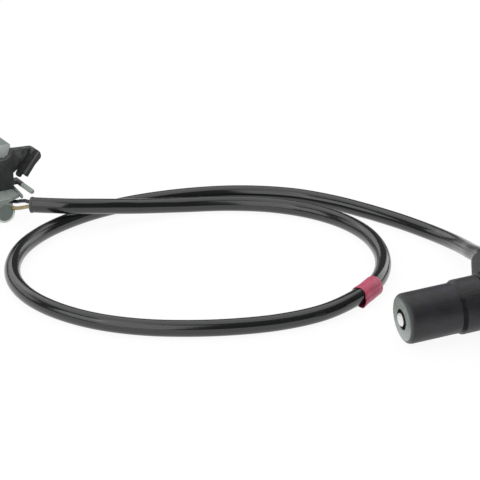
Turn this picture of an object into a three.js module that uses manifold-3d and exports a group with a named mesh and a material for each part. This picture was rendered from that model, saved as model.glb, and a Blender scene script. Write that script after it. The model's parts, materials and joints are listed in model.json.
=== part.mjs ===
// Transmission speed sensor with its moulded-on lead and two-way connector.
// Units are millimetres, +Z is up, and the sensor and its lead lie on a table at z = 0.
// The origin is under the middle of the sensor head. The head's nose points along -X.

import * as THREE from 'three';
import { mergeVertices } from 'three/addons/utils/BufferGeometryUtils.js';
import Module from 'manifold-3d';

const wasm = await Module();
wasm.setup();

// Clearances
const fitGap = 0.3; // between pieces that touch
const cutOver = 1; // how far a cutting tool runs past the face that it opens

// Sensor barrel, by station along its axis from the nose face
const barrelRadius = 9;
const noseFillet = 2;
const barrelLength = 19.5;
const shoulderLength = 1.35;
const collarRadius = 9.75;
const collarLength = 8.2;
const sealGrooveWidth = 2.4;
const sealGrooveRadius = 8;

// Mounting flange with one ear, and the body behind it
const flangeRadius = 11.3;
const flangeThickness = 4;
const earReach = 19;
const earRadius = 8;
const bodyRadius = 10;
const bodyLength = 10;
const bodyChamfer = 0.8;

// Bolt bush in the ear
const boltHoleRadius = 3.3;
const bushWall = 1.1;
const bushStandOut = 0.25;

// Cable outlet arm, turned towards the back of the head
const armRadius = 5.6;
const armReach = 15;
const armTurn = THREE.MathUtils.degToRad(20);
const armBoreRadius = 3.4;

// Inside of the head
const noseWall = 1.8;
const boreRadius = 6.5;
const poleRadius = 2.4;
const poleStandOut = 0.7;
const poleChamfer = 0.35;
const poleRecessRadius = 3.8;
const poleRecessDepth = 1.2;
const poleLength = 13.4; // behind the nose wall
const bobbinFlangeRadius = 6.1;
const bobbinFlangeThickness = 1;
const bobbinTubeWall = 0.8;
const bobbinLength = 11.4;
const windingRadius = 5.6;
const magnetRadius = 4.9;
const magnetLength = 6;
const terminalWidth = 1.6;
const terminalThickness = 0.5;
const terminalLength = 16;
const terminalOffset = 5.7;
const rearCapThickness = 1.6;
const rearCapStep = 1.4;

// Seal ring
const sealRingSection = 1;

// Strain relief boot on the outlet arm
const bootRootRadius = 5.5;
const bootTipRadius = 4.4;
const bootReach = 32.5;
const bootPlugLength = 6;
const bootEdge = 0.5;

// Lead
const cableRadius = 3;
const cableSides = 12;
const cableSteps = 78;
const coreRadius = 0.75;
const coreSides = 8;
const endRingRadius = 3.15;
const endRingBore = 2.1;
const endRingLength = 1.1;
const bandWall = 0.4;
const bandLength = 12;
const bandDistance = 434; // from the boot to the band's near end
const lieHeight = 3.1; // of the lead's centre where it lies on the table
const bandHeight = 3.8; // of the lead's centre where the band lifts it

// Connector housing. Y = 0 is near the face of its long wire barrel.
const wirePitch = 5;
const barrelAcross = -0.2;
const longBarrelRadius = 4.2;
const longBarrelLength = 9.6;
const wireNotchRadius = 1.05;
const wireNotchAcross = 3.46; // at the face of the long barrel
const signalBoreAcross = 1.4;
const groundBoreAcross = 5.3;
const wireHeight = 5.6;
const wireBoreRadius = 1.75;
const wireBoreDepth = 2.6;
const signalBoreInset = 0.5;
const contactHeight = 5;
const contactHoleRadius = 1.6;
const wireBlockLength = 6;
const shroudLength = 20;
const shroudHeight = 12;
const shroudSide = 4.8;
const shroudWall = 2.2;
const mouthDepth = 14;
const mouthFloor = 1.7;
const roofHeight = 9.5;
const roofThickness = 1.3;
const roofOverhang = 1.6;
const roofInset = 2.4;
const roofChamfer = 3.1;
const roofChamferReach = 5.9;
const roofLeftCorner = 2;
const guardThickness = 0.8;
const guardTipSide = 1.4;

// Clip rail on top of the connector housing
const railNeckHalf = 2.6;
const railNeckHeight = 9;
const railHeadHeight = 5.3;
const railHeadSide = 0.1;
const railLength = 10;
const railEdge = 1.4;

// Clip bracket with its hook and its tongue
const clipPlate = 2.8;
const clipBack = 8;
const clipOver = 0.3;
const clipSideMargin = 0.8;
const clipTop = 22;
const clipArmWall = 1.7;
const hookFoldCentre = [16.2, 22.4];
const hookFoldRadius = 2.9;
const hookLegDepth = 2.4;
const hookLegPlace = 5.2;
const tongueHeight = 11.9;
const tongueSide = 0.6;
const tongueWidth = 1.5;
const tongueTipRadius = 1;
const tongueEnd = 4.5;
const tongueTipEnd = -4.9;
const tonguePegRadius = 0.4;
const tonguePegLength = 2;

// Where the connector lies, and how far it is turned
const connectorPlace = [-124.9, 155.3, 0];
const connectorTurn = THREE.MathUtils.degToRad(10.3);

// Contacts, seals and retainer in the connector
const contactWidth = 2.2;
const contactThickness = 0.8;
const contactStart = 12;
const contactGap = 0.6;
const contactReach = 10;
const sealInset = 0.4;
const retainerThickness = 1.5;
const retainerHeight = 6;

// Round sections
const fineSides = 48;
const smallSides = 24;

// Materials

function material(color, roughness, metalness = 0) {
  return new THREE.MeshStandardMaterial({ color, roughness, metalness });
}

const blackPlastic = material(0x2b2c2e, 0.5);
const blackRubber = material(0x1d1e20, 0.6);
const blackCable = material(0x17181a, 0.3);
const greyPlastic = material(0x8a938e, 0.5);
const paleGrey = material(0xb4b9b6, 0.5);
const steel = material(0xc9cbc8, 0.3, 1);
const magnetSteel = material(0x77797a, 0.45, 1);
const copper = material(0xb46a3c, 0.35, 1);
const brass = material(0xc0a060, 0.35, 1);
const tin = material(0xb9bbb8, 0.35, 1);
const amberNylon = material(0xcbb98c, 0.55);
const resin = material(0x2a2420, 0.35);
const crimson = material(0xaa4660, 0.45);
const navy = material(0x252a38, 0.4);
const mustard = material(0x9c8a52, 0.45);
const rubberOlive = material(0x5d6a5c, 0.7);
const clearSleeve = material(0xb9bab8, 0.3);

// Solids

function solid(geometry) {
  const bare = geometry.index ? geometry.toNonIndexed() : geometry.clone();
  bare.deleteAttribute('normal');
  bare.deleteAttribute('uv');
  const merged = mergeVertices(bare, 1e-4);
  const vertProperties = new Float32Array(merged.attributes.position.array);
  const triVerts = new Uint32Array(merged.index.array);
  return new wasm.Manifold(new wasm.Mesh({ numProp: 3, vertProperties, triVerts }));
}

function shape(body) {
  const mesh = body.getMesh();
  const geometry = new THREE.BufferGeometry();
  geometry.setAttribute('position', new THREE.BufferAttribute(mesh.vertProperties, 3));
  geometry.setIndex(new THREE.BufferAttribute(mesh.triVerts, 1));
  geometry.computeVertexNormals();
  return geometry;
}

function joined(first, ...others) {
  return others.reduce((sum, other) => sum.add(other), first);
}

function without(first, ...others) {
  return others.reduce((rest, other) => rest.subtract(other), first);
}

function box(low, high) {
  const geometry = new THREE.BoxGeometry(high[0] - low[0], high[1] - low[1], high[2] - low[2]);
  geometry.translate((low[0] + high[0]) / 2, (low[1] + high[1]) / 2, (low[2] + high[2]) / 2);
  return solid(geometry);
}

// A solid of revolution about the X axis, from points [station, radius] that close on the axis or on themselves.
function turned(profile, sides = fineSides) {
  const points = profile.map(([station, radius]) => new THREE.Vector2(radius, station));
  const geometry = new THREE.LatheGeometry(points, sides);
  geometry.rotateZ(-Math.PI / 2);
  return solid(geometry);
}

function rod(start, end, radius, sides = smallSides) {
  return turned([[start, 0], [start, radius], [end, radius], [end, 0]], sides);
}

function tubeRing(start, end, inner, outer, sides = fineSides) {
  const profile = [[start, inner], [start, outer], [end, outer], [end, inner], [start, inner]];
  return turned(profile, sides);
}

// A flat outline, given as points [a, b], raised along +Z from one height to another.
function plate(outline, low, high) {
  const flat = new THREE.Shape(outline.map(([a, b]) => new THREE.Vector2(a, b)));
  const geometry = new THREE.ExtrudeGeometry(flat, { depth: high - low, bevelEnabled: false });
  geometry.translate(0, 0, low);
  return solid(geometry);
}

function arc(centre, radius, from, to, count) {
  const points = [];
  for (let step = 0; step <= count; step += 1) {
    const angle = from + ((to - from) * step) / count;
    points.push([centre[0] + radius * Math.cos(angle), centre[1] + radius * Math.sin(angle)]);
  }
  return points;
}

function mesh(name, geometry, finish) {
  const piece = new THREE.Mesh(geometry, finish);
  piece.name = name;
  return piece;
}

// Stations along the head's axis

const shoulderStart = barrelLength;
const collarStart = shoulderStart + shoulderLength;
const grooveStart = collarStart + collarLength;
const flangeStart = grooveStart + sealGrooveWidth;
const flangeEnd = flangeStart + flangeThickness;
const bodyEnd = flangeEnd + bodyLength;
const armStation = flangeStart + flangeThickness * 0.7;
const bobbinStart = noseWall + fitGap;
const bobbinEnd = bobbinStart + bobbinLength;
const poleEnd = noseWall + poleLength;
const magnetStart = poleEnd + fitGap;
const magnetEnd = magnetStart + magnetLength;
const rearCapStart = bodyEnd - rearCapThickness;

// Turns a solid made along X so that it runs along the outlet arm from the head's axis.
function alongArm(body) {
  const degrees = 90 - THREE.MathUtils.radToDeg(armTurn);
  return body.rotate([0, 0, degrees]).translate([armStation, 0, 0]);
}

function noseArc(count) {
  const centre = [noseFillet, barrelRadius - noseFillet];
  return arc(centre, noseFillet, Math.PI, Math.PI / 2, count);
}

function sensorHousing() {
  const outside = turned([
    [0, 0],
    ...noseArc(5),
    [shoulderStart, barrelRadius],
    [collarStart, collarRadius],
    [grooveStart, collarRadius],
    [grooveStart, sealGrooveRadius],
    [flangeStart, sealGrooveRadius],
    [flangeStart, flangeRadius],
    [flangeEnd, flangeRadius],
    [flangeEnd, bodyRadius],
    [bodyEnd - bodyChamfer, bodyRadius],
    [bodyEnd, bodyRadius - bodyChamfer],
    [bodyEnd, 0],
  ]);
  const arm = alongArm(rod(barrelRadius / 2, armReach, armRadius, fineSides));
  const bore = rod(noseWall, bodyEnd + cutOver, boreRadius, fineSides);
  const capSeat = rod(rearCapStart - fitGap, bodyEnd + cutOver, boreRadius + rearCapStep, fineSides);
  const poleHole = rod(-cutOver, noseWall + cutOver, poleRadius + fitGap);
  const poleRecess = rod(-cutOver, poleRecessDepth, poleRecessRadius, fineSides);
  const armBore = alongArm(rod(0, armReach + cutOver, armBoreRadius));
  const boltHole = rod(flangeStart - cutOver, flangeEnd + cutOver, boltHoleRadius + bushWall + fitGap)
    .translate([0, -earReach, 0]);
  return without(joined(outside, ear(), arm), bore, capSeat, poleHole, poleRecess, armBore, boltHole);
}

// The ear is the hull of the flange and of a smaller round end beside it, at one thickness.
function ear() {
  const lean = Math.asin((flangeRadius - earRadius) / earReach);
  const outline = [
    ...arc([-earReach, 0], earRadius, Math.PI / 2 + lean, (3 * Math.PI) / 2 - lean, 16),
    ...arc([0, 0], flangeRadius, -Math.PI / 2 - lean, Math.PI / 2 + lean, 20),
  ];
  // The outline lies in the YZ plane of the head: its first number is y and its second is z.
  return plate(outline, flangeStart, flangeEnd).rotate([90, 0, 90]);
}

function polePin() {
  const tip = -poleStandOut;
  return turned([
    [tip, 0],
    [tip, poleRadius - poleChamfer],
    [tip + poleChamfer, poleRadius],
    [poleEnd, poleRadius],
    [poleEnd, 0],
  ], smallSides);
}

function coilBobbin() {
  const bore = poleRadius + fitGap;
  const tube = bore + bobbinTubeWall;
  return turned([
    [bobbinStart, bore],
    [bobbinStart, bobbinFlangeRadius],
    [bobbinStart + bobbinFlangeThickness, bobbinFlangeRadius],
    [bobbinStart + bobbinFlangeThickness, tube],
    [bobbinEnd - bobbinFlangeThickness, tube],
    [bobbinEnd - bobbinFlangeThickness, bobbinFlangeRadius],
    [bobbinEnd, bobbinFlangeRadius],
    [bobbinEnd, bore],
    [bobbinStart, bore],
  ], smallSides);
}

function coilWinding() {
  const start = bobbinStart + bobbinFlangeThickness + fitGap;
  const end = bobbinEnd - bobbinFlangeThickness - fitGap;
  const inner = poleRadius + fitGap + bobbinTubeWall + fitGap;
  return tubeRing(start, end, inner, windingRadius, smallSides);
}

function terminal(side) {
  const start = bobbinEnd + fitGap;
  const middle = side * terminalOffset;
  return box(
    [start, -terminalWidth / 2, middle - terminalThickness / 2],
    [start + terminalLength, terminalWidth / 2, middle + terminalThickness / 2],
  );
}

function pottingFill() {
  const start = magnetEnd + fitGap;
  const end = rearCapStart - 2 * fitGap;
  const block = rod(start, end, boreRadius - fitGap);
  const slots = [-1, 1].map((side) => {
    const middle = side * terminalOffset;
    const inner = middle - side * (terminalThickness / 2 + fitGap);
    const outer = side * (boreRadius + cutOver);
    return box(
      [start - cutOver, -terminalWidth / 2 - fitGap, Math.min(inner, outer)],
      [bobbinEnd + terminalLength + 2 * fitGap, terminalWidth / 2 + fitGap, Math.max(inner, outer)],
    );
  });
  return without(block, ...slots);
}

function sealRing() {
  const middle = grooveStart + sealGrooveWidth / 2;
  const radius = sealGrooveRadius + fitGap + sealRingSection;
  const points = arc([middle, radius], sealRingSection, 0, 2 * Math.PI, 10);
  return turned(points.reverse(), fineSides);
}

function mountingBush() {
  const start = flangeStart - bushStandOut;
  const end = flangeEnd + bushStandOut;
  return tubeRing(start, end, boltHoleRadius, boltHoleRadius + bushWall, 32).translate([0, -earReach, 0]);
}

function cableBoot() {
  const seat = armReach + fitGap;
  return alongArm(turned([
    [armReach - bootPlugLength, 0],
    [armReach - bootPlugLength, armBoreRadius - fitGap],
    [seat, armBoreRadius - fitGap],
    [seat, bootRootRadius - bootEdge],
    [seat + bootEdge, bootRootRadius],
    [bootReach - bootEdge, bootTipRadius],
    [bootReach, bootTipRadius - bootEdge],
    [bootReach, 0],
  ], 32));
}

// The head lies on the edge of its nose and on the rim of its flange, so its axis rises towards the back.
function headTilt() {
  const along = flangeStart - noseFillet;
  const across = flangeRadius - (barrelRadius - noseFillet);
  return Math.atan2(across, along) - Math.asin(noseFillet / Math.hypot(along, across));
}

function sensorHead() {
  const head = new THREE.Group();
  head.add(
    mesh('sensor_housing', shape(sensorHousing()), blackPlastic),
    mesh('pole_pin', shape(polePin()), steel),
    mesh('coil_bobbin', shape(coilBobbin()), amberNylon),
    mesh('coil_winding', shape(coilWinding()), copper),
    mesh('magnet', shape(rod(magnetStart, magnetEnd, magnetRadius)), magnetSteel),
    mesh('coil_terminal_upper', shape(terminal(1)), brass),
    mesh('coil_terminal_lower', shape(terminal(-1)), brass),
    mesh('potting_fill', shape(pottingFill()), resin),
    mesh('rear_cap', shape(rod(rearCapStart, bodyEnd, boreRadius + rearCapStep - fitGap, fineSides)), blackPlastic),
    mesh('seal_ring', shape(sealRing()), blackRubber),
    mesh('mounting_bush', shape(mountingBush()), steel),
    mesh('cable_boot', shape(cableBoot()), blackRubber),
  );
  head.rotation.y = -headTilt();
  head.updateMatrixWorld(true);
  const extent = new THREE.Box3().setFromObject(head, true);
  const middle = extent.getCenter(new THREE.Vector3());
  head.position.set(-middle.x, -middle.y, -extent.min.z);
  return head;
}

// The lead leaves the boot, comes down to the table, runs round the back and the left,
// passes under itself, goes round the front and the right, and ends over its own first strand.
const routePoints = [
  [21.2, 28.4, 12.4],
  [22.3, 31.3, 12.3],
  [23.3, 35.6, 11.5],
  [24.3, 44.2, 9.4],
  [25.8, 53, 7.3],
  [26.8, 62.4, 5.3],
  [26.5, 71.4, 3.9],
  [24.8, 79.8, 3.2],
  [22, 87.1, lieHeight],
  [18, 95.9, lieHeight],
  [10.1, 110.2, lieHeight],
  [0.9, 123.8, lieHeight],
  [-11.5, 136.5, lieHeight],
  [-30.2, 146.4, lieHeight],
  [-50.6, 150.6, lieHeight],
  [-72, 150.3, lieHeight],
  [-89, 146.4, lieHeight],
  [-103.2, 139.9, lieHeight],
  [-116.6, 130.5, lieHeight],
  [-127.4, 118.4, lieHeight],
  [-134.8, 103.8, lieHeight],
  [-138, 87.9, lieHeight],
  [-136.3, 71.7, lieHeight],
  [-129.9, 56.6, lieHeight],
  [-119.7, 43.7, lieHeight],
  [-106.5, 33.9, lieHeight],
  [-91.4, 27.3, lieHeight],
  [-75.5, 23.2, lieHeight],
  [-59.1, 21.8, lieHeight],
  [-42.7, 24, 3.3],
  [-27.6, 31, bandHeight],
  [-15, 41.9, bandHeight],
  [-6.2, 56, 3.3],
  [-0.9, 71.7, lieHeight],
  [0.5, 88.1, lieHeight],
  [-3, 104.2, lieHeight],
  [-11.3, 118.4, lieHeight],
  [-23.4, 129.4, lieHeight],
  [-38.5, 136.7, lieHeight],
  [-56.7, 140.9, 3.3],
  [-75.4, 139.8, 5.6],
  [-90.8, 137.6, 8.4],
  [-104.3, 138.5, 9.9],
  [-116.4, 145.1, 9.6],
];

// The two cores fan out from the lead's end to their places in the connector, in the connector's frame.
const yellowPoints = [
  [6.4, -11.05, 8.7],
  [5.6, -10.2, 8.6],
  [5.3, -8.6, 7.9],
  [5.1, -7, 7.25],
  [4.6, -5.4, 6.65],
  [4.1, -3.9, 6.1],
  [3.75, -2.8, 5.75],
  [wireNotchAcross, -1.6, wireHeight],
  [2.69, 2, wireHeight],
  [2.04, 5, wireHeight],
  [1.53, 7.4, wireHeight],
  [signalBoreAcross, 8.7, wireHeight],
  [signalBoreAcross, 10.3, wireHeight],
];
const navyPoints = [
  [6.4, -11.05, 10.7],
  [5.6, -10.2, 10.7],
  [5.5, -8.2, 10.35],
  [5.9, -5.6, 9.35],
  [6.2, -2.4, 8.2],
  [6.1, 0, 7.2],
  [5.9, 2.5, 6.4],
  [5.5, 5.2, 5.8],
  [groundBoreAcross, 7.6, wireHeight],
  [groundBoreAcross, 9.9, wireHeight],
];

function curveThrough(points) {
  const curve = new THREE.CatmullRomCurve3(points.map((point) => new THREE.Vector3(...point)));
  curve.arcLengthDivisions = 4000;
  return curve;
}

function stretchOf(curve, start, length) {
  const whole = curve.getLength();
  const part = new THREE.Curve();
  part.getPoint = (fraction, target) => curve.getPointAt((start + fraction * length) / whole, target);
  return part;
}

function ringOutline(radius, sides) {
  return arc([0, 0], radius, 0, 2 * Math.PI * (1 - 1 / sides), sides - 1)
    .map(([a, b]) => new THREE.Vector2(a, b));
}

function tubeAlong(curve, radius, sides, steps, bore = 0) {
  const section = new THREE.Shape(ringOutline(radius, sides));
  if (bore > 0) section.holes.push(new THREE.Path(ringOutline(bore, sides)));
  return new THREE.ExtrudeGeometry(section, { steps, extrudePath: curve, bevelEnabled: false });
}

// A short sleeve on the end of the lead, which the two cores pass through.
function jacketEndRing(curve) {
  const geometry = shape(tubeRing(fitGap, fitGap + endRingLength, endRingBore, endRingRadius, smallSides));
  const along = curve.getTangentAt(1);
  geometry.applyQuaternion(new THREE.Quaternion().setFromUnitVectors(new THREE.Vector3(1, 0, 0), along));
  const end = curve.getPointAt(1);
  geometry.translate(end.x, end.y, end.z);
  return geometry;
}

function lead() {
  const route = curveThrough(routePoints);
  const band = stretchOf(route, bandDistance, bandLength);
  const bandBore = cableRadius + fitGap;
  return [
    mesh('cable_jacket', tubeAlong(route, cableRadius, cableSides, cableSteps), blackCable),
    mesh('id_band', tubeAlong(band, bandBore + bandWall, cableSides * 2, 3, bandBore), crimson),
    mesh('jacket_end_ring', jacketEndRing(route), clearSleeve),
  ];
}

// Connector housing. X runs across it, Y from its wire end to its mouth.

const wireBlockStart = 8;
const shroudStart = wireBlockStart + wireBlockLength;
const shroudEnd = shroudStart + shroudLength;
const mouthStart = shroudEnd - mouthDepth;
const shroudLow = -shroudSide;
const shroudHigh = wirePitch + shroudSide;
const railMiddle = wirePitch / 2;
const railNeckTop = shroudHeight + railNeckHeight;
const railTop = railNeckTop + railHeadHeight;
const roofHigh = shroudHigh - roofInset;
const longBarrelStart = wireBlockStart - longBarrelLength;
const signalBoreStart = wireBlockStart + signalBoreInset;

// A round solid along the connector's Y axis.
function barrel(across, height, radius, start, end, sides = smallSides) {
  return rod(start, end, radius, sides).rotate([0, 0, 90]).translate([across, 0, height]);
}

// An outline in the connector's XZ plane, extruded along its Y axis.
function slab(outline, start, end) {
  return plate(outline, -end, -start).rotate([90, 0, 0]);
}

function roof() {
  const front = -roofOverhang;
  const outline = [
    [shroudLow, shroudStart + cutOver],
    [shroudLow, front + roofLeftCorner],
    [shroudLow + roofLeftCorner, front],
    [roofHigh - roofChamferReach, front],
    [roofHigh, front + roofChamfer],
    [roofHigh, shroudStart + cutOver],
  ];
  return plate(outline, roofHeight - roofThickness, roofHeight);
}

// A thin wall beside the roof, joined to it over the wire block. A slot parts them further forward.
function guardRail() {
  const side = shroudHigh + fitGap;
  const tip = shroudHigh - guardTipSide;
  const end = shroudStart + cutOver;
  const low = roofHeight - roofThickness;
  const outline = [[side, end], [side - guardThickness, end], [tip - guardThickness, 0], [tip, 0]];
  const rail = plate(outline, low, roofHeight);
  const bridge = box(
    [roofHigh - cutOver, wireBlockStart + guardThickness, low],
    [side - guardThickness * 1.2, end, roofHeight - fitGap],
  );
  return joined(rail, bridge);
}

function clipRail() {
  const half = railNeckHalf;
  const neck = box(
    [railMiddle - half, shroudStart, shroudHeight - cutOver],
    [railMiddle + half, shroudStart + railLength, railNeckTop + cutOver],
  );
  const headHigh = shroudHigh + railHeadSide;
  const outline = [
    [shroudLow + railEdge, railNeckTop],
    [headHigh - railEdge, railNeckTop],
    [headHigh, railNeckTop + 2 * railEdge],
    [headHigh, railTop - railEdge / 4],
    [headHigh - railEdge / 4, railTop],
    [shroudLow + railEdge / 4, railTop],
    [shroudLow, railTop - railEdge / 4],
    [shroudLow, railNeckTop + railEdge],
  ];
  return joined(neck, slab(outline, shroudStart, shroudStart + railLength));
}

// The passage of the signal core leans across the long barrel and breaks out of its side at the face.
function wireNotch() {
  const run = wireBlockStart - longBarrelStart;
  const lean = Math.atan2(wireNotchAcross - signalBoreAcross, run);
  const reach = run / Math.cos(lean) + wireNotchRadius - fitGap / 2;
  return rod(-wireNotchRadius, reach, wireNotchRadius, 16)
    .rotate([0, 0, 90 + THREE.MathUtils.radToDeg(lean)])
    .translate([wireNotchAcross, longBarrelStart, wireHeight]);
}

function connectorHousing() {
  const shroud = box([shroudLow, shroudStart, 0], [shroudHigh, shroudEnd, shroudHeight]);
  const wireBlock = box(
    [shroudLow, wireBlockStart, 0],
    [roofHigh, shroudStart + cutOver, roofHeight - roofThickness / 2],
  );
  const longBarrel = barrel(
    barrelAcross, longBarrelRadius, longBarrelRadius, longBarrelStart, wireBlockStart + cutOver, 32,
  );
  const mouth = box(
    [shroudLow + shroudWall, mouthStart, mouthFloor],
    [shroudHigh - shroudWall, shroudEnd + cutOver, shroudHeight - mouthFloor],
  );
  const signalBore = barrel(
    signalBoreAcross, wireHeight, wireBoreRadius, signalBoreStart, signalBoreStart + wireBoreDepth,
  );
  const groundBore = barrel(
    groundBoreAcross, wireHeight, wireBoreRadius, wireBlockStart - cutOver, wireBlockStart + wireBoreDepth,
  );
  const holes = [0, wirePitch].map((across) => (
    barrel(across, contactHeight, contactHoleRadius, contactStart - contactGap, mouthStart + cutOver, 16)
  ));
  const outside = joined(shroud, wireBlock, longBarrel, roof(), guardRail(), clipRail());
  return without(outside, mouth, wireNotch(), signalBore, groundBore, ...holes);
}

function wireSeal(across, height, start) {
  const end = start + wireBoreDepth - 2 * sealInset;
  const plug = barrel(across, height, wireBoreRadius - fitGap, start, end);
  const hole = barrel(across, height, coreRadius + fitGap, start - cutOver, end + cutOver, 16);
  return without(plug, hole);
}

function contact(across) {
  return box(
    [across - contactWidth / 2, contactStart, contactHeight - contactThickness / 2],
    [across + contactWidth / 2, mouthStart + contactReach, contactHeight + contactThickness / 2],
  );
}

function terminalRetainer() {
  const start = mouthStart + fitGap;
  const low = mouthFloor + fitGap;
  const block = box(
    [shroudLow + shroudWall + fitGap, start, low],
    [shroudHigh - shroudWall - fitGap, start + retainerThickness, low + retainerHeight],
  );
  const slots = [0, wirePitch].map((across) => {
    const half = [contactWidth / 2 + fitGap, contactThickness / 2 + fitGap];
    return box(
      [across - half[0], start - cutOver, contactHeight - half[1]],
      [across + half[0], start + retainerThickness + cutOver, contactHeight + half[1]],
    );
  });
  return without(block, ...slots);
}

// The bracket is a plate in front of the rail with two arms that grip its neck, a folded hook and a tongue.
function clipBracket() {
  const plateHigh = shroudHigh - 2 * clipSideMargin;
  const plateEnd = clipBack + clipPlate;
  const low = roofHeight + clipOver;
  const plateBody = box([shroudLow, clipBack, low], [plateHigh, plateEnd, clipTop]);
  const arms = [-1, 1].map((side) => {
    const inner = railMiddle + side * (railNeckHalf + fitGap);
    const outer = inner + side * clipArmWall;
    return box(
      [Math.min(inner, outer), plateEnd - cutOver, shroudHeight + fitGap],
      [Math.max(inner, outer), shroudStart + railLength - cutOver, railNeckTop - fitGap],
    );
  });
  const foldOuter = arc(hookFoldCentre, hookFoldRadius, THREE.MathUtils.degToRad(88), THREE.MathUtils.degToRad(-18), 8);
  const hookArm = slab([
    [plateHigh - cutOver, low + clipPlate * 2],
    [plateHigh + 0.2, 16.3],
    [9.7, 17.2],
    [11.4, 17.8],
    [13.2, 18.5],
    [15.2, 19.5],
    [17.2, 20.2],
    ...foldOuter.slice().reverse(),
    [plateHigh, 25.8],
    [7.3, 23.3],
    [4.7, 21.7],
    [4.7, low + clipPlate * 2],
  ], clipBack, plateEnd);
  const foldInner = [[17.4, 20.3], [16.6, 21.4], [15.8, 22.8], [14.9, 24.1]];
  const hookFold = slab([...foldOuter, ...foldInner], hookLegPlace, plateEnd);
  const hookLeg = slab([
    ...foldOuter,
    [16.4, 19],
    [13, 14.5],
    [11.9, 15.2],
    [11.4, 15.9],
    [10.8, 16],
    [10.1, 15],
    [9, 15.3],
    [9, 16.4],
    [11.6, 20],
    [14.6, 24],
  ], hookLegPlace, hookLegPlace + hookLegDepth);
  const half = tongueWidth / 2;
  const tongueMiddle = shroudHigh + tongueSide;
  const tongue = box(
    [tongueMiddle - half, tongueEnd, tongueHeight - half],
    [tongueMiddle + half, plateEnd + cutOver, tongueHeight + half],
  );
  const lug = box(
    [plateHigh - cutOver, clipBack, tongueHeight - half],
    [tongueMiddle, plateEnd + cutOver, tongueHeight + half],
  );
  const peg = barrel(tongueMiddle, tongueHeight, tonguePegRadius, tongueEnd - tonguePegLength, tongueEnd + cutOver, 12);
  return joined(plateBody, ...arms, hookArm, hookFold, hookLeg, tongue, lug, peg);
}

function tongueTip() {
  const across = shroudHigh + tongueSide;
  const radius = tongueTipRadius;
  const start = tongueTipEnd;
  const end = tongueEnd - fitGap;
  const body = turned([
    [start, 0],
    ...arc([start + radius, 0], radius, Math.PI, Math.PI / 2, 4).slice(1),
    [end, radius],
    [end, 0],
  ], smallSides).rotate([0, 0, 90]).translate([across, 0, tongueHeight]);
  const socket = barrel(
    across, tongueHeight, tonguePegRadius + fitGap, end - tonguePegLength, end + cutOver, 12,
  );
  return without(body, socket);
}

function connector() {
  const group = new THREE.Group();
  const signalSeal = wireSeal(signalBoreAcross, wireHeight, signalBoreStart + sealInset);
  const groundSeal = wireSeal(groundBoreAcross, wireHeight, wireBlockStart + sealInset);
  group.add(
    mesh('connector_housing', shape(connectorHousing()), greyPlastic),
    mesh('wire_seal_signal', shape(signalSeal), rubberOlive),
    mesh('wire_seal_ground', shape(groundSeal), rubberOlive),
    mesh('contact_signal', shape(contact(0)), tin),
    mesh('contact_ground', shape(contact(wirePitch)), tin),
    mesh('terminal_retainer', shape(terminalRetainer()), paleGrey),
    mesh('clip_bracket', shape(clipBracket()), blackPlastic),
    mesh('clip_tongue_tip', shape(tongueTip()), paleGrey),
    mesh('core_signal', tubeAlong(curveThrough(yellowPoints), coreRadius, coreSides, 14), mustard),
    mesh('core_ground', tubeAlong(curveThrough(navyPoints), coreRadius, coreSides, 14), navy),
  );
  group.position.set(...connectorPlace);
  group.rotation.z = connectorTurn;
  return group;
}

const sensor = new THREE.Group();
sensor.add(sensorHead(), ...lead(), connector());

export default sensor;
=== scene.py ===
"""Transmission speed sensor with its looped lead and two-way connector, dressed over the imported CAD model."""
import json
import math

import bpy
import numpy as np
from mathutils import Matrix, Vector


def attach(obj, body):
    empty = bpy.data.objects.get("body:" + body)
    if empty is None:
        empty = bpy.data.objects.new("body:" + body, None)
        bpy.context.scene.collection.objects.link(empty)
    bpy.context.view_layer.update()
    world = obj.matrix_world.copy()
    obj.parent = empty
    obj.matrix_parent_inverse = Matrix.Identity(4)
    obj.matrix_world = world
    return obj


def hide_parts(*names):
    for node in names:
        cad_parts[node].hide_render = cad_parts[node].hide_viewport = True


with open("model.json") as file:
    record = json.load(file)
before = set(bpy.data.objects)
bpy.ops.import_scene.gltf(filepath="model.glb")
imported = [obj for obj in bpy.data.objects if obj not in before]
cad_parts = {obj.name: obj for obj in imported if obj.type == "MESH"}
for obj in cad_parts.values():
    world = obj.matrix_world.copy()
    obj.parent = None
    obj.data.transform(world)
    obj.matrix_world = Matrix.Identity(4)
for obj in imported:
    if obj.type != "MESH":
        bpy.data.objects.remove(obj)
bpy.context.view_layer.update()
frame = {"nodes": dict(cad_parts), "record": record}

MM = 0.001

# Driving sizes of the pieces that are made here, in millimetres

LEAD_RADIUS = 3.0
CORE_RADIUS = 0.75
LEAD_SPACING = 1.0
CORE_SPACING = 0.4

# Frames of the head and the connector, as in the part's source

HEAD_PLACE = Vector((-24.1616, -2.4369, 8.8235)) * MM
HEAD_TILT = -0.0777358
CONN_PLACE = Vector((-124.9, 155.3, 0)) * MM
CONN_TURN = math.radians(10.3)

HEAD = Matrix.Translation(HEAD_PLACE) @ Matrix.Rotation(HEAD_TILT, 4, "Y")
CONN = Matrix.Translation(CONN_PLACE) @ Matrix.Rotation(CONN_TURN, 4, "Z")

# Camera, fitted to the photograph, and the level directions ahead of it and to its right

CAMERA_PLACE = Vector((-325.848, -679.696, 337.146)) * MM
CAMERA_AIM = Vector((-44.554, 105.929, 0)) * MM
VIEW_AHEAD = Vector((0.3372, 0.9414, 0))
VIEW_RIGHT = Vector((VIEW_AHEAD.y, -VIEW_AHEAD.x, 0))

camera = bpy.data.objects.new("camera", bpy.data.cameras.new("camera"))
bpy.context.scene.collection.objects.link(camera)
camera.location = CAMERA_PLACE
camera.rotation_euler = (CAMERA_AIM - CAMERA_PLACE).to_track_quat("-Z", "Y").to_euler()
camera.data.sensor_fit = "HORIZONTAL"
camera.data.sensor_width = 36
camera.data.lens = 175.7
camera.data.clip_start = 0.05
camera.data.clip_end = 20
bpy.context.scene.camera = camera

# Node trees


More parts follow.
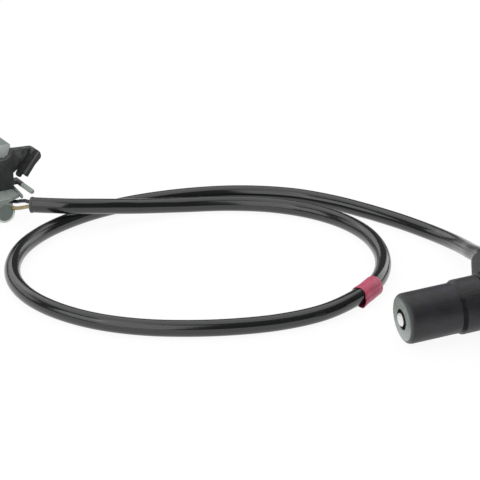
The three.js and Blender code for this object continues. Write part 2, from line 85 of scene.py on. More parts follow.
class Tree:
    """The node tree of a material or world, with short ways to add nodes and to join them."""

    def __init__(self, owner):
        owner.use_nodes = True
        self.nodes = owner.node_tree.nodes
        self.links = owner.node_tree.links
        self.nodes.clear()

    def feed(self, socket, value):
        """Links another socket to a socket, or sets a plain value on it."""
        if isinstance(value, bpy.types.NodeSocket):
            self.links.new(value, socket)
        else:
            socket.default_value = value

    def node(self, kind, inputs=None, **settings):
        made = self.nodes.new(kind)
        for key, value in settings.items():
            setattr(made, key, value)
        for key, value in (inputs or {}).items():
            self.feed(made.inputs[key], value)
        return made

    def math(self, operation, first, second=0.0):
        return self.node("ShaderNodeMath", {0: first, 1: second}, operation=operation).outputs[0]

    def product(self, first, *others):
        for value in others:
            first = self.math("MULTIPLY", first, value)
        return first

    def spread(self, value, low, high, start=0.3, end=0.7):
        """A number that goes from low to high while the value goes from start to end."""
        limits = {"From Min": start, "From Max": end, "To Min": low, "To Max": high}
        return self.node("ShaderNodeMapRange", {"Value": value, **limits}).outputs[0]

    def between(self, value, rising, falling):
        """1 between two ramps, and 0 before the rising one and after the falling one."""
        return self.product(self.spread(value, 0, 1, *rising), self.spread(value, 1, 0, *falling))

    def ray(self, *kinds):
        """1 for rays of any of the given kinds, and 0 for all others."""
        light_path = self.node("ShaderNodeLightPath").outputs
        share = light_path[kinds[0]]
        for kind in kinds[1:]:
            share = self.math("MAXIMUM", share, light_path[kind])
        return share

    def mix_shaders(self, share, first, second):
        """The first shader where the share is 0, and the second where it is 1."""
        return self.node("ShaderNodeMixShader", {0: share, 1: first, 2: second}).outputs[0]


class Shader(Tree):
    """A material with one Principled surface. With sunk, its bumps go into the surface, as grooves."""

    def __init__(self, name, sunk=False):
        self.material = bpy.data.materials.new(name)
        super().__init__(self.material)
        self.sunk = sunk
        self.bsdf = self.node("ShaderNodeBsdfPrincipled")
        self.node("ShaderNodeOutputMaterial", {0: self.bsdf.outputs[0]})
        self.coords = self.node("ShaderNodeTexCoord").outputs["Object"]

    def set(self, **values):
        """Feeds inputs of the surface. An underscore in a name stands for a space."""
        for key, value in values.items():
            self.feed(self.bsdf.inputs[key.replace("_", " ")], value)

    def noise(self, scale, detail=3.0, roughness=0.5, stretch=None, seed=0.0):
        vector = self.coords
        if stretch or seed:
            place = self.node("ShaderNodeMapping", {"Vector": vector})
            place.inputs["Scale"].default_value = stretch or (1, 1, 1)
            place.inputs["Location"].default_value = (seed, seed * 0.7, seed * 1.3)
            vector = place.outputs[0]
        look = {"Scale": scale, "Detail": detail, "Roughness": roughness}
        return self.node("ShaderNodeTexNoise", {"Vector": vector, **look}).outputs["Fac"]

    def blend(self, factor, first, second):
        """The first colour where the factor is 0, and the second where it is 1."""
        made = self.node("ShaderNodeMix", {"Factor": factor}, data_type="RGBA")
        for key, colour in (("A", first), ("B", second)):
            self.feed(made.inputs[key], (*colour, 1) if isinstance(colour, tuple) else colour)
        return made.outputs["Result"]

    def bump(self, height, distance, strength=1.0, over=None):
        """A normal bumped by a height of up to a distance in metres, over another bump where one is given."""
        inputs = {"Height": height, "Distance": distance, "Strength": strength}
        if over is not None:
            inputs["Normal"] = over
        return self.node("ShaderNodeBump", inputs, invert=self.sunk).outputs[0]

    def station(self, group, axis=0):
        """How far a point lies along one axis of a group's own frame, in metres."""
        row = group.inverted()[axis]
        along = self.node("ShaderNodeVectorMath", {0: self.coords, 1: row[:3]}, operation="DOT_PRODUCT")
        return self.math("ADD", along.outputs["Value"], row[3])

    def distance(self, first, second):
        """The length of a vector that has the two given parts."""
        both = self.node("ShaderNodeCombineXYZ", {"X": first, "Y": second}).outputs[0]
        return self.node("ShaderNodeVectorMath", {0: both}, operation="LENGTH").outputs["Value"]

    def geometry(self, output):
        return self.node("ShaderNodeNewGeometry").outputs[output]


def tone(*levels):
    """A colour written as the screen shows it, 0 to 255, as linear numbers."""
    shares = [level / 255 for level in levels]
    return tuple(share / 12.92 if share <= 0.04045 else ((share + 0.055) / 1.055) ** 2.4 for share in shares)


# Plain materials


def moulded(name, dark, light, rough=(0.42, 0.58), seed=0.0):
    """Moulded plastic: a fine spark-eroded grain, a cloudy tone, and spots rubbed a little smoother."""
    grain = 0.00012
    s = Shader(name)
    cloud = s.noise(120, 4, 0.6, seed=seed)
    rub = s.noise(720, 3, 0.55, seed=seed + 3)
    fine = s.noise(1 / grain, 2, 0.5, seed=seed + 5)
    s.set(Base_Color=s.blend(s.spread(cloud, 0, 1), dark, light))
    s.set(Roughness=s.spread(rub, *rough))
    s.set(Normal=s.bump(fine, 0.00001, 0.7, s.bump(cloud, 0.00005, 0.3)))
    return s.material


def rubber(name, dark, light, rough=(0.5, 0.7), seed=0.0):
    """Dull rubber with a cloudy tone and a very fine grain."""
    s = Shader(name)
    cloud = s.noise(160, 4, 0.6, seed=seed)
    fine = s.noise(5000, 2, 0.5, seed=seed + 2)
    s.set(Base_Color=s.blend(s.spread(cloud, 0, 1), dark, light))
    s.set(Roughness=s.spread(s.noise(900, 3, seed=seed + 1), *rough))
    s.set(Normal=s.bump(fine, 0.00001, 0.5))
    return s.material


def metal(name, dark, light, rough=(0.2, 0.36), seed=0.0):
    """Bare metal with a cloudy tone, and spots that are rougher than the rest."""
    s = Shader(name)
    spots = s.noise(1800, 4, 0.6, seed=seed + 1)
    s.set(Base_Color=s.blend(s.spread(s.noise(300, 4, seed=seed), 0, 1), dark, light))
    s.set(Metallic=1.0)
    s.set(Roughness=s.spread(spots, *rough))
    s.set(Normal=s.bump(spots, 0.000006, 0.5))
    return s.material


def core_sheath(name, dark, light, seed):
    """Thin core insulation with soiled spots."""
    s = Shader(name)
    cloud = s.noise(420, 4, 0.6, seed=seed)
    soil = s.noise(1300, 3, 0.6, seed=seed + 2)
    tinted = s.blend(s.spread(cloud, 0, 1), dark, light)
    tinted = s.blend(s.spread(soil, 0, 0.5, 0.55, 0.72), tinted, tuple(value * 0.45 for value in dark))
    s.set(Base_Color=tinted)
    s.set(Roughness=s.spread(soil, 0.28, 0.42))
    s.set(Normal=s.bump(soil, 0.00002, 0.5, s.bump(cloud, 0.00006, 0.4)))
    return s.material


# Materials of single pieces. A named pair is where a ramp starts and ends, in metres.


def housing_plastic():
    """Dark filled nylon, a little violet in places, with a paler bare nose face, painted light towards the
    face's lower end, a painted highlight on the rim round it, and painted shade in a band behind the step.
    """
    face_edge = (0.00008, 0.00022)
    rim = (0.0003, 0.0011)
    lower_face = (-0.0085, 0.0)
    step_front = (0.0193, 0.0196)
    step_back = (0.0208, 0.0213)
    step_bottom = (-0.007, -0.0045)
    step_top = (0.006, 0.008)

    s = Shader("housing_plastic")
    cloud = s.noise(90, 4, 0.6)
    tint = s.noise(45, 3, 0.5, seed=4)
    flow = s.noise(70, 4, 0.6, stretch=(0.25, 1, 1), seed=9)
    fine = s.noise(7000, 2, 0.5, seed=5)
    fleck = s.noise(2600, 2, 0.5, seed=11)
    along = s.station(HEAD)
    height = s.station(HEAD, 2)

    dark = s.blend(s.spread(cloud, 0, 1), tone(27, 27, 29), tone(38, 38, 40))
    dark = s.blend(s.spread(tint, 0, 0.8, 0.45, 0.66), dark, tone(42, 37, 54))
    dark = s.blend(s.spread(flow, 0, 0.3, 0.5, 0.75), dark, tone(52, 53, 56))
    dark = s.blend(s.spread(fleck, 0, 0.5, 0.62, 0.74), dark, tone(66, 68, 70))
    # Painted highlight: the rim round the nose face is lightened.
    lit_rim_and_shaded_step = s.blend(s.spread(along, 0.4, 0, *rim), dark, tone(92, 98, 96))
    # Painted shade: a band behind the step is darkened nearly to black.
    step = s.product(s.between(along, step_front, step_back), s.between(height, step_bottom, step_top))
    lit_rim_and_shaded_step = s.blend(s.product(step, 0.95), lit_rim_and_shaded_step, tone(4, 4, 5))

    pale = s.blend(s.spread(s.noise(700, 4, 0.6, seed=2), 0, 1), tone(96, 103, 99), tone(118, 125, 120))
    # Painted light: the nose face is lightened towards its lower end.
    pale = s.blend(s.spread(height, 0.9, 0, *lower_face), pale, tone(164, 171, 167))
    s.set(Base_Color=s.blend(s.spread(along, 1, 0, *face_edge), lit_rim_and_shaded_step, pale))
    rough = s.spread(s.noise(500, 3, 0.55, seed=3), 0.36, 0.52)
    s.set(Roughness=s.math("ADD", rough, s.product(step, 0.45)))
    s.set(Normal=s.bump(fine, 0.000012, 0.7, s.bump(cloud, 0.00006, 0.35)))
    s.set(Specular_IOR_Level=0.4)
    return s.material


def connector_plastic():
    """Grey green nylon with flow clouds, fine speckle, rubbed corners, painted shade in patches on faces that
    look up, a paler rail with painted shade on its top, painted shade on the barrel's face and a painted
    highlight round the barrel's rim.
    """
    rail_height = (0.019, 0.022)
    wire_side = (0.0142, 0.0150)
    barrel_face = (-0.00148, -0.0013)
    barrel_across = -0.0002
    barrel_height = 0.0042
    lip_radius = (0.0032, 0.0036)
    lip_along = (-0.0012, -0.0006)
    lip_height = (0.003, 0.0055)

    s = Shader("grey_plastic")
    cloud = s.noise(140, 5, 0.65)
    speck = s.noise(1500, 3, 0.6, seed=3)
    stain = s.noise(60, 3, 0.55, stretch=(1, 0.4, 1), seed=7)
    fine = s.noise(5200, 2, 0.5, seed=5)
    across, along, height = (s.station(CONN, axis) for axis in range(3))
    upward = s.node("ShaderNodeSeparateXYZ", {0: s.geometry("Normal")}).outputs["Z"]

    grey = s.blend(s.spread(cloud, 0, 1), tone(104, 116, 111), tone(128, 140, 134))
    grey = s.blend(s.spread(speck, 0, 0.45, 0.55, 0.72), grey, tone(152, 162, 156))
    grey = s.blend(s.spread(stain, 0, 0.35, 0.52, 0.75), grey, tone(88, 102, 98))
    grey = s.blend(s.spread(s.geometry("Pointiness"), 0, 0.6, 0.505, 0.56), grey, tone(166, 175, 170))
    # Painted shade: faces that look up are darkened in noisy patches.
    dust_and_painted_shade = s.product(s.spread(upward, 0, 1, 0.6, 0.9), s.spread(s.noise(420, 4, 0.6, seed=12), 0.15, 0.5))
    grey = s.blend(dust_and_painted_shade, grey, tone(82, 92, 88))

    rail = s.blend(s.spread(along, 0, 1, *wire_side), tone(196, 204, 200), tone(128, 137, 133))
    # Painted shade: the rail's faces that look up are darker.
    rail = s.blend(s.spread(upward, 0, 1, 0.5, 0.8), rail, tone(100, 108, 105))
    grey = s.blend(s.spread(height, 0, 0.85, *rail_height), grey, rail)

    # Painted shade: the barrel's face is darkened.
    grey = s.blend(s.product(s.spread(along, 1, 0, *barrel_face), 0.75), grey, tone(66, 76, 72))
    # Painted highlight: a pale ring round the barrel's rim, stronger low down.
    radius = s.distance(s.math("SUBTRACT", across, barrel_across), s.math("SUBTRACT", height, barrel_height))
    barrel_rim_highlight = s.product(s.spread(radius, 0, 1, *lip_radius), s.spread(along, 1, 0, *lip_along))
    barrel_rim_highlight = s.product(barrel_rim_highlight, s.spread(height, 1, 0.2, *lip_height))
    s.set(Base_Color=s.blend(barrel_rim_highlight, grey, tone(206, 214, 209)))
    s.set(Roughness=s.spread(s.noise(620, 3, 0.55, seed=2), 0.36, 0.54))
    s.set(Normal=s.bump(fine, 0.000014, 0.7, s.bump(cloud, 0.00007, 0.4)))
    return s.material


def clip_plastic():
    """Glossier black nylon with scuffed edges, fine scratches and a rubbed arm, with a painted highlight line
    and painted shade along the leg.
    """
    arm_across = (0.0085, 0.0102)
    arm_along = (0.0076, 0.00785)
    leg_across = (0.0088, 0.0092)
    leg_along = (0.00765, 0.0079)
    highlight_start = (0.0004, 0.0006)
    highlight_end = (0.0010, 0.0013)
    shade_start = (0.0014, 0.0018)
    ragged = (-0.0001, 0.0001)
    rise, fall = 0.62, 0.78

    s = Shader("clip_plastic")
    cloud = s.noise(200, 4, 0.6)
    scratch = s.noise(900, 4, 0.7, stretch=(1, 0.12, 0.5), seed=6)
    fine = s.noise(6000, 2, 0.5, seed=5)
    across, along, height = (s.station(CONN, axis) for axis in range(3))
    slope = s.math("SUBTRACT", s.product(height, rise), s.product(across, fall))
    slope = s.math("ADD", slope, s.spread(s.noise(500, 3, 0.5, seed=14), *ragged))

    black = s.blend(s.spread(cloud, 0, 1), tone(24, 24, 25), tone(44, 44, 45))
    black = s.blend(s.spread(scratch, 0, 0.5, 0.58, 0.72), black, tone(70, 72, 73))
    black = s.blend(s.spread(s.geometry("Pointiness"), 0, 0.2, 0.51, 0.58), black, tone(92, 94, 95))
    leg = s.product(s.spread(along, 1, 0, *leg_along), s.spread(across, 0, 1, *leg_across))
    # Painted highlight: a pale line along the leg.
    leg_highlight = s.product(s.between(slope, highlight_start, highlight_end), leg, 0.6)
    black = s.blend(leg_highlight, black, tone(104, 106, 107))
    # Painted shade: the leg is darkened nearly to black beyond the line.
    leg_shade = s.product(s.spread(slope, 0, 1, *shade_start), leg, 0.7)
    black = s.blend(leg_shade, black, tone(12, 12, 13))
    arm = s.product(s.spread(across, 0, 1, *arm_across), s.spread(along, 0, 1, *arm_along))
    rubbed = s.product(arm, s.spread(s.noise(420, 4, 0.65, seed=16), 0, 0.65, 0.42, 0.62))
    s.set(Base_Color=s.blend(rubbed, black, tone(98, 100, 100)))
    s.set(Roughness=s.spread(s.noise(800, 3, 0.55, seed=2), 0.24, 0.4))
    s.set(Normal=s.bump(scratch, 0.00002, 0.5, s.bump(fine, 0.00001, 0.6, s.bump(cloud, 0.00008, 0.4))))
    return s.material


def cable_skin():
    """Glossy black sheath, drawn out of a die, so faint lines and soft ripples run along it."""
    s = Shader("cable_black", sunk=True)
    s.coords = s.node("ShaderNodeAttribute", attribute_name="skin").outputs["Vector"]
    lines = s.noise(900, 2, 0.5, stretch=(1, 1, 0.012))
    broad = s.noise(330, 2, 0.4, stretch=(1, 1, 0.02), seed=5)
    ripple = s.noise(120, 3, 0.5, stretch=(1, 1, 0.25), seed=2)
    dust_and_painted_shade = s.noise(2400, 2, 0.5, stretch=(1, 1, 0.5), seed=8)
    black = s.blend(s.spread(ripple, 0, 1), tone(15, 16, 17), tone(24, 25, 26))
    s.set(Base_Color=s.blend(s.spread(dust_and_painted_shade, 0, 0.4, 0.64, 0.76), black, tone(52, 54, 55)))
    s.set(Roughness=s.spread(lines, 0.13, 0.22))
    s.set(IOR=1.66)
    s.set(Normal=s.bump(lines, 0.00013, 0.7, s.bump(broad, 0.00026, 0.7, s.bump(ripple, 0.00008, 0.3))))
    return s.material


def band_tape():
    """Crimson tape with a soft sheen, faint weave and a few specks of wear."""
    s = Shader("crimson_band")
    cloud = s.noise(260, 4, 0.6)
    wear = s.noise(1500, 3, 0.6, seed=3)
    weave = s.noise(3200, 2, 0.5, stretch=(1, 1, 0.3), seed=6)
    red = s.blend(s.spread(cloud, 0, 1), tone(158, 52, 80), tone(180, 70, 98))
    s.set(Base_Color=s.blend(s.spread(wear, 0, 0.35, 0.6, 0.75), red, tone(132, 40, 66)))
    s.set(Roughness=s.spread(wear, 0.34, 0.5))
    s.set(Normal=s.bump(weave, 0.00002, 0.6, s.bump(cloud, 0.0001, 0.4)))
    return s.material


def cut_end():
    """The cut end of the sheath: dull grey, with knife marks across it."""
    s = Shader("pale_sleeve")
    marks = s.noise(1700, 4, 0.65, stretch=(1, 0.3, 1), seed=4)
    cloud = s.noise(500, 4, 0.6, seed=1)
    grey = s.blend(s.spread(cloud, 0, 1), tone(44, 46, 42), tone(68, 71, 65))
    s.set(Base_Color=s.blend(s.spread(marks, 0, 0.6, 0.56, 0.7), grey, tone(104, 106, 97)))
    s.set(Roughness=s.spread(marks, 0.4, 0.58))
    s.set(Normal=s.bump(marks, 0.00004, 0.6))
    return s.material


def turned_steel():
    """Bright steel with the fine rings that a lathe leaves, grey with wear in spots and darker on its side."""
    ring_spacing = 0.00022
    side = (-0.0003, -0.00012)

    s = Shader("pole_steel")
    spots = s.noise(900, 4, 0.65, seed=3)
    radius = s.distance(s.station(HEAD, 1), s.station(HEAD, 2))
    rings = s.math("SINE", s.product(radius, 2 * math.pi / ring_spacing))
    steel = s.blend(s.spread(s.noise(380, 4), 0, 1), tone(222, 224, 222), tone(240, 241, 239))
    steel = s.blend(s.spread(spots, 0, 0.45, 0.56, 0.72), steel, tone(176, 180, 178))
    s.set(Base_Color=s.blend(s.spread(s.station(HEAD), 0, 0.92, *side), steel, tone(30, 31, 32)))
    s.set(Metallic=0.85)
    s.set(Roughness=s.spread(spots, 0.3, 0.48))
    s.set(Normal=s.bump(rings, 0.000006, 0.5, s.bump(spots, 0.00003, 0.4)))
    return s.material


finish = {
    "grey_plastic": connector_plastic(),
    "cable_black": cable_skin(),
    "crimson_band": band_tape(),
    "pale_sleeve": cut_end(),
    "pole_steel": turned_steel(),
}
for make, name, dark, light, options in (
    (moulded, "black_plastic", (33, 33, 36), (45, 45, 48), {"rough": (0.36, 0.5)}),
    (moulded, "pale_plastic", (122, 131, 126), (146, 154, 149), {"rough": (0.3, 0.5), "seed": 5}),
    (moulded, "amber_nylon", (190, 172, 128), (206, 188, 144), {"seed": 9}),
    (moulded, "resin", (34, 28, 24), (46, 38, 32), {"rough": (0.15, 0.3), "seed": 10}),
    (rubber, "boot_rubber", (30, 31, 32), (42, 43, 44), {"seed": 4}),
    (rubber, "seal_rubber", (20, 21, 22), (29, 30, 31), {"rough": (0.3, 0.45), "seed": 7}),
    (rubber, "olive_rubber", (84, 98, 84), (98, 110, 96), {"seed": 11}),
    (metal, "bush_steel", (180, 180, 176), (204, 204, 198), {"seed": 3}),
    (metal, "magnet_steel", (112, 114, 116), (128, 130, 132), {"rough": (0.35, 0.5), "seed": 5}),
    (metal, "copper_wire", (176, 100, 56), (196, 118, 72), {"seed": 6}),
    (metal, "terminal_brass", (186, 156, 92), (202, 172, 108), {"seed": 7}),
    (metal, "tinned_contact", (180, 182, 178), (198, 200, 196), {"seed": 8}),
    (core_sheath, "core_mustard", (126, 112, 78), (158, 144, 106), {"seed": 12}),
    (core_sheath, "core_navy", (26, 29, 36), (40, 45, 56), {"seed": 13}),
):
    finish[name] = make(name, tone(*dark), tone(*light), **options)
own_finish = {"sensor_housing": housing_plastic(), "clip_bracket": clip_plastic()}

for part in frame["record"]["subparts"]:
    node = frame["nodes"][part["node"]]
    node.data.materials.clear()
    node.data.materials.append(own_finish.get(part["node"], finish[part["material_slot"]]))

# Moulded edges


def soften(name, width):
    """Merges a solid's flat facets, and then rounds its sharp edges to a width in millimetres."""
    piece = frame["nodes"][name]
    flat = piece.modifiers.new("flat faces", "DECIMATE")
    flat.decimate_type = "DISSOLVE"
    flat.angle_limit = math.radians(0.5)
    edges = piece.modifiers.new("rounded edges", "BEVEL")
    edges.limit_method = "ANGLE"
    edges.angle_limit = math.radians(28)
    edges.width = width * MM
    edges.segments = 3
    edges.use_clamp_overlap = True
    level = piece.modifiers.new("even shading", "WEIGHTED_NORMAL")
    level.keep_sharp = False
    level.weight = 80


for name, width in (
    ("sensor_housing", 0.3), ("connector_housing", 0.28), ("clip_bracket", 0.3), ("terminal_retainer", 0.18),
    ("cable_boot", 0.35), ("mounting_bush", 0.12), ("rear_cap", 0.2), ("contact_signal", 0.12),
    ("contact_ground", 0.12),
):
    soften(name, width)

# Lines through points, in millimetres


def run_along(line):
    """How far along a line each of its points lies."""
    return np.concatenate([[0], np.cumsum(np.linalg.norm(np.diff(line, axis=0), axis=1))])


def stretch_of(line, start, length, spacing):
    """One stretch of a line, as evenly spaced points."""
    run = run_along(line)
    places = np.linspace(start, start + length, int(round(length / spacing)) + 1)
    return np.stack([np.interp(places, run, line[:, axis]) for axis in range(3)], axis=1)


def toward(value, start, end, first, second):
    """A point that moves from the first to the second while the value goes from start to end."""
    return (end - value) / (end - start) * first + (value - start) / (end - start) * second


def smooth_line(points, spacing):
    """A centripetal Catmull-Rom curve through the points, as evenly spaced points."""
    samples = 40
    knots = [np.array(p, float) for p in points]
    knots = [2 * knots[0] - knots[1], *knots, 2 * knots[-1] - knots[-2]]
    dense = []
    for a, b, c, d in zip(knots, knots[1:], knots[2:], knots[3:]):
        t = [0.0]
        for p, q in ((a, b), (b, c), (c, d)):
            t.append(t[-1] + np.linalg.norm(q - p) ** 0.5)
        for value in np.linspace(t[1], t[2], samples, endpoint=False):
            a1 = toward(value, t[0], t[1], a, b)
            a2 = toward(value, t[1], t[2], b, c)
            a3 = toward(value, t[2], t[3], c, d)
            b1 = toward(value, t[0], t[2], a1, a2)
            b2 = toward(value, t[1], t[3], a2, a3)
            dense.append(toward(value, t[1], t[2], b1, b2))
    dense = np.array([*dense, knots[-2]])
    return stretch_of(dense, 0, run_along(dense)[-1], spacing)


def frames_along(line):
    """For each point of a line its direction, a level vector across it, and one at a right angle to both."""
    ahead = np.gradient(line, axis=0)
    ahead /= np.linalg.norm(ahead, axis=1)[:, None]
    side = np.cross(ahead, (0, 0, 1.0))
    side /= np.linalg.norm(side, axis=1)[:, None]
    return ahead, side, np.cross(side, ahead)


# Meshes made of rings of points


def make_object(name, vertices, faces, material, sharp):
    """A smooth mesh, with its edges sharp where faces meet at more than an angle in degrees."""
    data = bpy.data.meshes.new(name)
    data.from_pydata([tuple(v) for v in vertices], [], faces)
    data.validate()
    data.update()
    data.polygons.foreach_set("use_smooth", [True] * len(data.polygons))
    data.set_sharp_from_angle(angle=math.radians(sharp))
    data.materials.append(material)
    piece = bpy.data.objects.new(name, data)
    bpy.context.scene.collection.objects.link(piece)
    return piece


def ring(sides, side, rise, at):
    """A ring of points. at gives the centre and the radius for an angle, which turns from side to rise."""
    points = []
    for j in range(sides):
        angle = 2 * math.pi * j / sides
        centre, radius = at(angle)
        points.append(centre + radius * (math.cos(angle) * side + math.sin(angle) * rise))
    return points


def loft(name, rings, material, ends_meet, sharp):
    """A closed skin over rings. Its last ring is joined to its first, or else flat faces close its ends."""
    count = len(rings)
    sides = len(rings[0])

    def corner(k, j):
        return k % count * sides + j % sides

    faces = []
    for k in range(count if ends_meet else count - 1):
        for j in range(sides):
            faces.append((corner(k, j), corner(k + 1, j), corner(k + 1, j + 1), corner(k, j + 1)))
    if not ends_meet:
        faces.append([corner(0, j) for j in range(sides)])
        faces.append([corner(count - 1, j) for j in reversed(range(sides))])
    return make_object(name, np.array(rings).reshape(-1, 3) * MM, faces, material, sharp)


def tube(name, line, radius, sides, material):
    """A closed tube along a line. Its skin attribute holds the points of the same tube drawn out straight."""
    _, side, rise = frames_along(line)
    rings = [ring(sides, side[k], rise[k], lambda angle: (line[k], radius)) for k in range(len(line))]
    piece = loft(name, rings, material, ends_meet=False, sharp=40)
    angles = 2 * math.pi * np.arange(sides) / sides
    skin = np.zeros((len(line), sides, 3))
    skin[:, :, 0] = radius * np.cos(angles)
    skin[:, :, 1] = radius * np.sin(angles)
    skin[:, :, 2] = run_along(line)[:, None]
    stored = piece.data.attributes.new("skin", "FLOAT_VECTOR", "POINT")
    stored.data.foreach_set("vector", (skin * MM).ravel())
    return piece


def turned(name, profile, sides, start, direction, material):
    """A closed ring with a profile of (station, radius) points, turned about a direction from a start."""
    ahead = np.array(direction, float)
    ahead /= np.linalg.norm(ahead)
    side = np.cross(ahead, (0, 0, 1.0))
    side /= np.linalg.norm(side)
    rise = np.cross(side, ahead)
    rings = []
    for where, radius in profile:
        rings.append(ring(sides, side, rise, lambda angle: (start + where * ahead, radius)))
    return loft(name, rings, material, ends_meet=True, sharp=35)


# Lead

ROUTE = [
    (21.2, 28.4, 12.4), (22.3, 31.3, 12.3), (23.3, 35.6, 11.5), (24.3, 44.2, 9.4), (25.8, 53, 7.3),
    (26.8, 62.4, 5.3), (26.5, 71.4, 3.9), (24.8, 79.8, 3.2), (22, 87.1, 3.1), (18, 95.9, 3.1),
    (10.1, 110.2, 3.1), (0.9, 123.8, 3.1), (-11.5, 136.5, 3.1), (-30.2, 146.4, 3.1), (-50.6, 150.6, 3.1),
    (-72, 150.3, 3.1), (-89, 146.4, 3.1), (-103.2, 139.9, 3.1), (-116.6, 130.5, 3.1), (-127.4, 118.4, 3.1),
    (-134.8, 103.8, 3.1), (-138, 87.9, 3.1), (-136.3, 71.7, 3.1), (-129.9, 56.6, 3.1), (-119.7, 43.7, 3.1),
    (-106.5, 33.9, 3.1), (-91.4, 27.3, 3.1), (-75.5, 23.2, 3.1), (-59.1, 21.8, 3.1), (-42.7, 24, 3.3),
    (-27.6, 31, 3.8), (-15, 41.9, 3.8), (-6.2, 56, 3.3), (-0.9, 71.7, 3.1), (0.5, 88.1, 3.1),
    (-3, 104.2, 3.1), (-11.3, 118.4, 3.1), (-23.4, 129.4, 3.1), (-38.5, 136.7, 3.1), (-56.7, 140.9, 3.3),
    (-75.4, 139.8, 5.6), (-90.8, 137.6, 8.4), (-104.3, 138.5, 9.9), (-116.4, 145.1, 9.6),
]

lead_line = smooth_line(ROUTE, LEAD_SPACING)
lead = tube("lead", lead_line, LEAD_RADIUS, 40, finish["cable_black"])
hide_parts("cable_jacket")
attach(lead, "root")

# Band: tape wrapped round the lead, in millimetres, radians about the lead and numbers of rings

BAND_START = 434.0
BAND_LENGTH = 12.0
BAND_SPACING = 0.4
BAND_RADIUS = 3.42
BAND_WALL = 0.27
BAND_ROUNDING = 0.12
FOLD_ANGLE = 5.35
FOLD_WIDTH = 0.95
FOLD_HEIGHT = 0.72
CORNER_ANGLE = 5.5
CORNER_LEAN = 1.5
LEAN_RINGS = 12
FREE_END_RINGS = 9
LAST_END_RINGS = 6
FLOOR_GAP = 0.04

band_line = stretch_of(lead_line, BAND_START, BAND_LENGTH, BAND_SPACING)
BAND_LAST = len(band_line) - 1


def band_outer(k, angle):
    """The tape's outer radius. A fold runs along it, its free end stands off, and it clears the table."""
    start = max(0.0, 1 - k / FREE_END_RINGS)
    end = max(0.0, 1 - (BAND_LAST - k) / LAST_END_RINGS)
    wave = 0.03 * math.sin(3 * angle + 0.35 * k) + 0.02 * math.sin(5 * angle - 0.2 * k)
    fold = math.exp(-((angle - FOLD_ANGLE) / FOLD_WIDTH) ** 2)
    lifted = max(0.0, math.cos(angle - CORNER_ANGLE))
    radius = BAND_RADIUS + wave + (FOLD_HEIGHT + 0.35 * start) * fold
    radius += lifted * (0.25 * start ** 2 + 0.06 * end ** 2)
    downward = -math.sin(angle)
    if downward > 0.1:
        radius = min(radius, (band_line[k][2] - FLOOR_GAP) / downward)
    return radius


def band_lean(k, angle):
    """The lower corner of the tape's free end reaches further back along the lead than its top."""
    return -CORNER_LEAN * max(0.0, 1 - k / LEAN_RINGS) * max(0.0, math.cos(angle - CORNER_ANGLE)) ** 1.5


def band_ring(k, thinner, sides=64):
    """One ring of the tape, on its outer face or thinner by a given amount."""
    return ring(sides, band_side[k], band_rise[k], lambda angle: (
        band_line[k] + band_ahead[k] * band_lean(k, angle), band_outer(k, angle) - thinner,
    ))


band_ahead, band_side, band_rise = frames_along(band_line)
band_rings = [band_ring(0, BAND_WALL)]
band_rings += [band_ring(k, BAND_ROUNDING if k in (0, BAND_LAST) else 0.0) for k in range(BAND_LAST + 1)]
band_rings += [band_ring(k, BAND_WALL) for k in range(BAND_LAST, 0, -1)]
band = loft("band", band_rings, finish["crimson_band"], ends_meet=True, sharp=50)
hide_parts("id_band")
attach(band, "root")

# Cores, with their points in the connector's frame

SIGNAL_CORE = [
    (6.4, -11.05, 8.7), (5.6, -10.2, 8.6), (5.3, -8.6, 7.9), (5.1, -7, 7.25), (4.6, -5.4, 6.65),
    (4.1, -3.9, 6.1), (3.75, -2.8, 5.75), (3.46, -1.6, 5.6), (2.69, 2, 5.6), (2.04, 5, 5.6), (1.53, 7.4, 5.6),
    (1.4, 8.7, 5.6), (1.4, 10.3, 5.6),
]
GROUND_CORE = [
    (6.4, -11.05, 10.7), (5.6, -10.2, 10.7), (5.5, -8.2, 10.35), (5.9, -5.6, 9.35), (6.2, -2.4, 8.2),
    (6.1, 0, 7.2), (5.9, 2.5, 6.4), (5.5, 5.2, 5.8), (5.3, 7.6, 5.6), (5.3, 9.9, 5.6),
]

for name, points, node, slot in (
    ("signal_core", SIGNAL_CORE, "core_signal", "core_mustard"),
    ("ground_core", GROUND_CORE, "core_ground", "core_navy"),
):
    line = smooth_line([tuple((CONN @ (Vector(p) * MM)) / MM) for p in points], CORE_SPACING)
    core = tube(name, line, CORE_RADIUS, 28, finish[slot])
    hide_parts(node)
    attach(core, "root")

# Cut end of the sheath, as stations from the end of the lead and radii, in millimetres

SHEATH_END = [
    (-0.8, 3.04), (-0.74, 3.12), (-0.1, 3.15), (0.08, 3.12), (0.2, 3.02), (0.28, 2.86), (0.3, 2.6),
    (0.27, 2.3), (0.16, 2.14), (0.0, 2.1), (-0.8, 2.1),
]

tail = lead_line[-1]
end_ring = turned("sheath_end", SHEATH_END, 64, tail, tail - lead_line[-3], finish["pale_sleeve"])
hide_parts("jacket_end_ring")
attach(end_ring, "root")

# Pole of the nose, as stations from the nose face and radii, in millimetres

POLE = [
    (-0.69, 0.02), (-0.7, 0.5), (-0.7, 1.96), (-0.67, 2.14), (-0.6, 2.28), (-0.5, 2.37), (-0.34, 2.4),
    (15.2, 2.4), (15.2, 0.02),
]

pole_start = np.array(HEAD.translation) / MM
pole_way = HEAD.to_3x3() @ Vector((1, 0, 0))
pole = turned("pole", POLE, 96, pole_start, pole_way, finish["pole_steel"])
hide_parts("pole_pin")
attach(pole, "root")

# Floor: rays of sight and reflection see most of it as plain white, and the rest as a lit surface

FLOOR_REACH = 6
FLOOR_WHITE = 0.92
FLOOR_GREY = (0.86, 0.86, 0.86, 1)
WHITE = (1, 1, 1, 1)

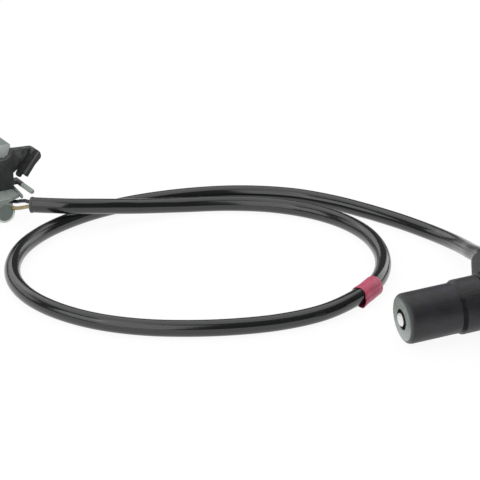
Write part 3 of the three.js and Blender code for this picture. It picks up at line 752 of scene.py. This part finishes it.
floor_material = bpy.data.materials.new("floor")
ground = Tree(floor_material)
seen = ground.ray("Is Camera Ray", "Is Glossy Ray", "Is Transmission Ray")
lit = ground.node("ShaderNodeBsdfDiffuse", {"Color": FLOOR_GREY}).outputs[0]
white = ground.node("ShaderNodeEmission", {"Color": WHITE, "Strength": 1.0}).outputs[0]
both = ground.mix_shaders(ground.product(seen, FLOOR_WHITE), lit, white)
ground.node("ShaderNodeOutputMaterial", {0: both})
floor_corners = [(x * FLOOR_REACH, y * FLOOR_REACH, 0) for x, y in ((-1, -1), (1, -1), (1, 1), (-1, 1))]
floor = make_object("floor", floor_corners, [(0, 1, 2, 3)], floor_material, sharp=35)

# World: white to the camera, and to reflections a dim room with a white wall behind the part

ROOM_FILL = 0.52
ROOM_SHEEN = 0.11
WALL_TOP = (0.02, 0.14)
WALL_SIDE = (0.1, 0.4)
WALL_GREY = (0.8, 0.8, 0.8, 1)

world = bpy.data.worlds.new("studio")
bpy.context.scene.world = world
sky = Tree(world)


def backdrop(colour, strength):
    return sky.node("ShaderNodeBackground", {"Color": colour, "Strength": strength}).outputs[0]


def wall_and_room():
    """The white wall, which fades out upwards and to its sides, and the dim room all round the part."""
    way = sky.node("ShaderNodeTexCoord").outputs["Generated"]
    rise = sky.node("ShaderNodeSeparateXYZ", {0: way}).outputs["Z"]
    dot = sky.node("ShaderNodeVectorMath", {0: way, 1: VIEW_AHEAD}, operation="DOT_PRODUCT")
    behind = dot.outputs["Value"]
    wall = sky.product(sky.spread(rise, 1, 0, *WALL_TOP), sky.spread(behind, 0, 1, *WALL_SIDE))
    return backdrop(WALL_GREY, sky.spread(wall, ROOM_SHEEN, 1, 0, 1))


room = sky.mix_shaders(sky.ray("Is Glossy Ray"), backdrop(WHITE, ROOM_FILL), wall_and_room())
room = sky.mix_shaders(sky.ray("Is Camera Ray", "Is Transmission Ray"), room, backdrop(WHITE, 1.0))
sky.node("ShaderNodeOutputWorld", {0: room})

# Lamps

LAMP_AIM = Vector((-0.05, 0.08, 0.01))


def softbox(name, azimuth, height, distance, size, power):
    """A soft lamp at a distance from the part. Its azimuth turns right from the way the camera looks."""
    turn = math.radians(azimuth)
    rise = math.radians(height)
    level = VIEW_AHEAD * math.cos(turn) + VIEW_RIGHT * math.sin(turn)
    way = level * math.cos(rise) + Vector((0, 0, math.sin(rise)))
    lamp = bpy.data.lights.new(name, "AREA")
    lamp.shape = "RECTANGLE"
    lamp.size, lamp.size_y = size
    lamp.energy = power
    holder = bpy.data.objects.new(name, lamp)
    bpy.context.scene.collection.objects.link(holder)
    holder.location = LAMP_AIM + way * distance
    holder.rotation_euler = (-way).to_track_quat("-Z", "Y").to_euler()


softbox("overhead", 0, 72, 1.6, (2.4, 2.4), 20)
softbox("left wall", -44, 25, 1.6, (2.0, 0.6), 4)
softbox("right wall", 42, 16, 1.6, (1.1, 0.7), 4)
softbox("front", -152, 34, 1.8, (1.5, 2.1), 15)
softbox("front left", -112, 30, 1.7, (0.9, 0.9), 4.5)

bpy.context.scene.view_settings.view_transform = "Standard"
